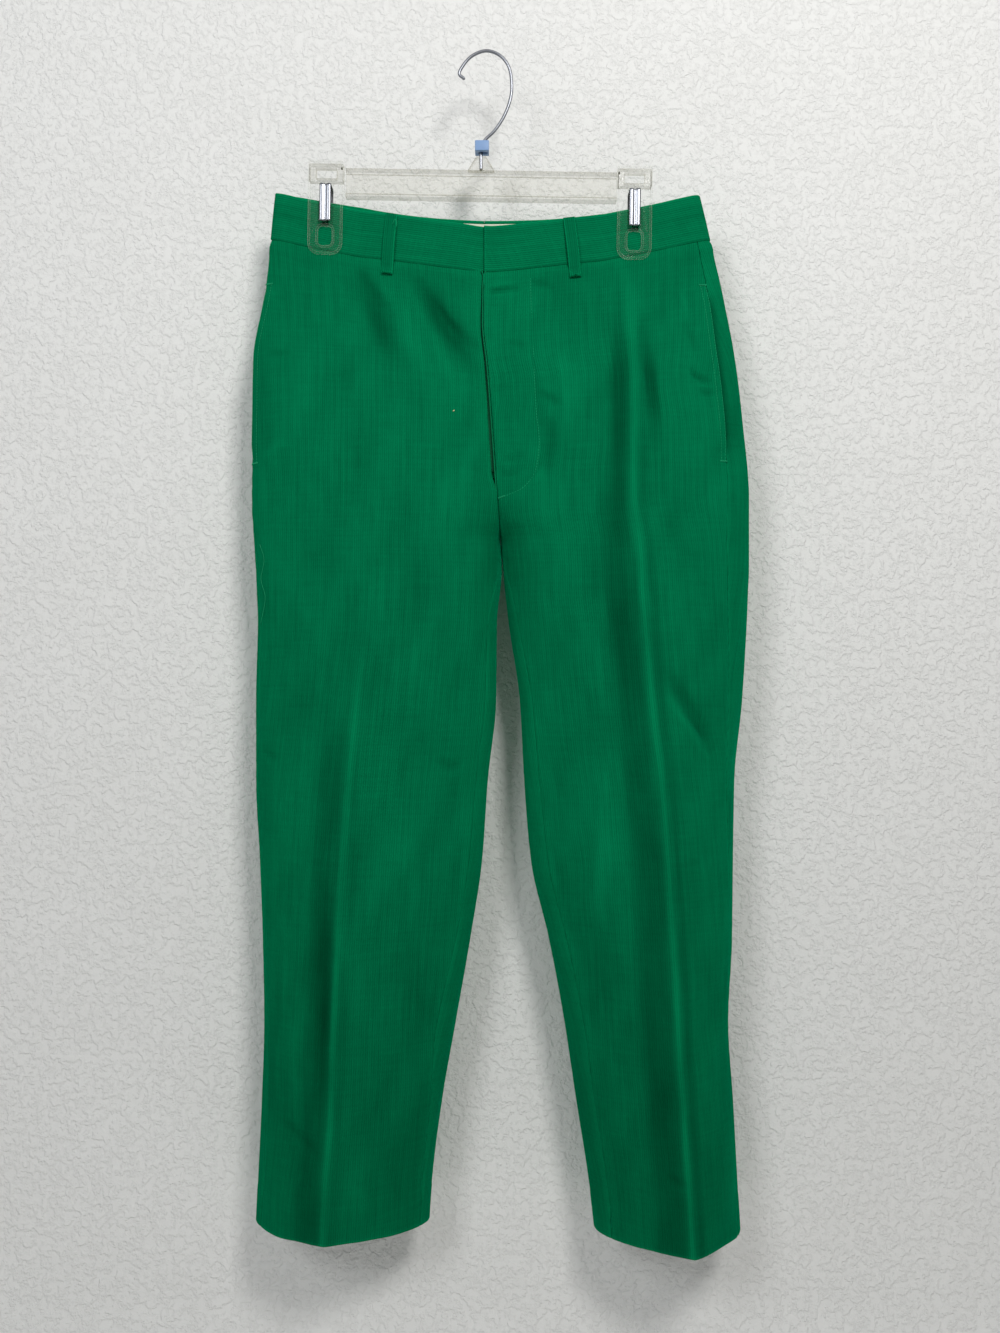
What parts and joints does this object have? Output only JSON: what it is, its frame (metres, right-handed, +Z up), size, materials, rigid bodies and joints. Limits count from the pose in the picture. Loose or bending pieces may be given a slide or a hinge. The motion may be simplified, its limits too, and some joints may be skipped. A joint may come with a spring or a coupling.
{
  "type": "corduroy trousers on a clip hanger",
  "caption": "Straight-leg green corduroy trousers with pressed creases, a lapped fly and belt loops, hanging by the waistband from a clear clip hanger.",
  "frame": {"origin": "the point under the top of the wire hook, where a rail or wall hook carries it", "axes": "+Z up, the front of the trousers faces -Y, and the wearer's left is +X"},
  "size_m": [0.5117, 0.111, 1.2212],
  "materials": {
    "corduroy": "fine-wale cotton corduroy",
    "facing": "plain cream cotton",
    "zip_tape": "woven tape",
    "zip_metal": "tumbled",
    "hanger_steel": "polished",
    "clear_plastic": "clear moulded",
    "sizer_plastic": "moulded"
  },
  "bodies": {
    "root": {"front_right": "corduroy", "front_left": "corduroy", "back_right": "corduroy", "back_left": "corduroy", "waistband_right": "corduroy", "waistband_left": "corduroy", "belt_loop_front_right": "corduroy", "belt_loop_front_left": "corduroy", "belt_loop_back_right": "corduroy", "belt_loop_back_left": "corduroy", "belt_loop_back_centre": "corduroy", "fly_shield": "corduroy", "pocket_facing_right": "corduroy", "pocket_facing_left": "corduroy", "waistband_facing": "facing", "zip_tape": "zip_tape", "zip_slider": "zip_metal", "hanger_hook": "hanger_steel", "hanger_sizer": "sizer_plastic", "hanger_bar": "clear_plastic", "hanger_neck": "clear_plastic", "clip_front_jaw_right": "clear_plastic", "clip_back_jaw_right": "clear_plastic", "clip_housing_right": "clear_plastic", "clip_spring_right": "hanger_steel", "clip_front_jaw_left": "clear_plastic", "clip_back_jaw_left": "clear_plastic", "clip_housing_left": "clear_plastic", "clip_spring_left": "hanger_steel"}
  },
  "joints": []
}
